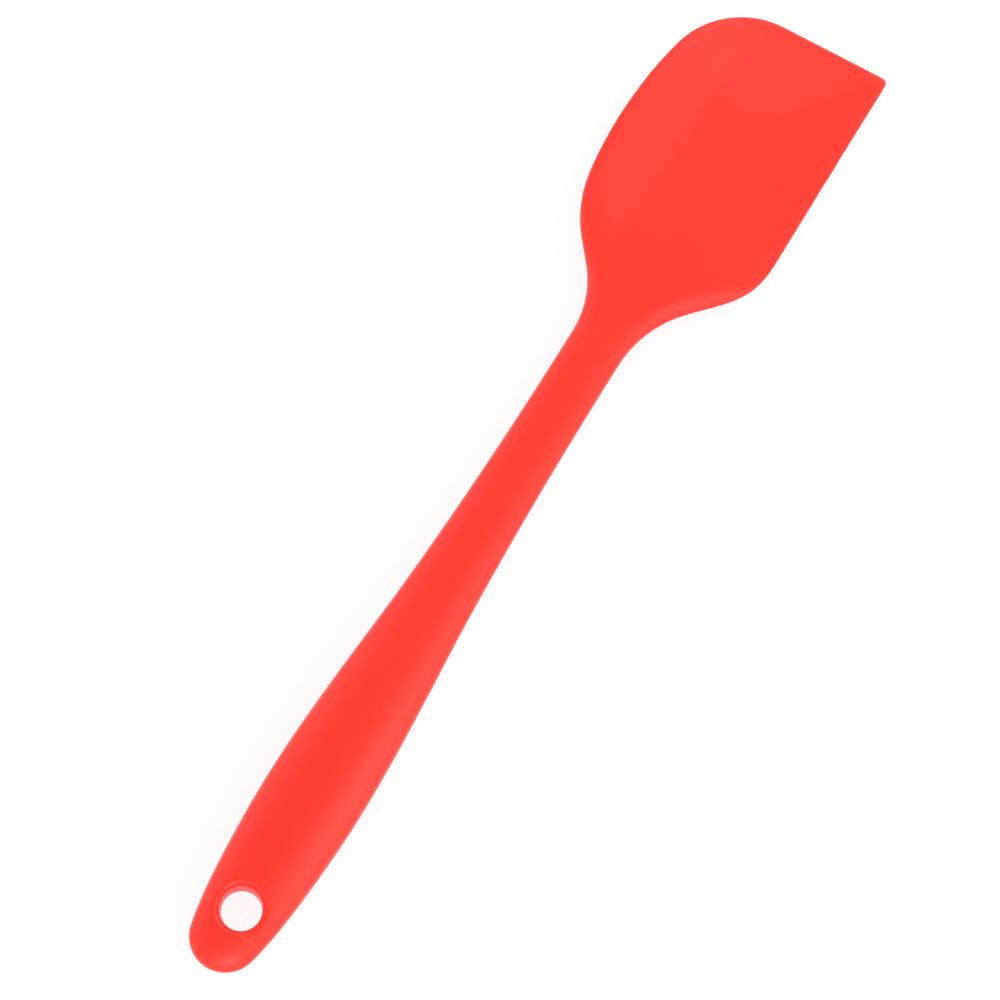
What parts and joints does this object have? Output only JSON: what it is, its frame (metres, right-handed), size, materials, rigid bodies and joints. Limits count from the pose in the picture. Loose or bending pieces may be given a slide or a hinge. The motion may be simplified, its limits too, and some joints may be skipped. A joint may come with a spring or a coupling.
{
  "type": "silicone spatula",
  "caption": "One-piece silicone spatula with a swelling oval handle, a hang hole, a slim neck and an asymmetric blade with one round and one square tip corner.",
  "frame": {"origin": "centre of the hang hole, on the mould's parting plane half way through the handle", "axes": "+Y along the handle towards the blade's tip, +X across the blade towards its straight edge, +Z out of the broad face and along the hang hole"},
  "size_m": [0.0533, 0.28, 0.015],
  "materials": {
    "silicone": "matte red silicone",
    "nylon_core": "natural glass-filled nylon"
  },
  "bodies": {
    "root": {"silicone_body": "silicone", "inner_core": "nylon_core"}
  },
  "joints": []
}
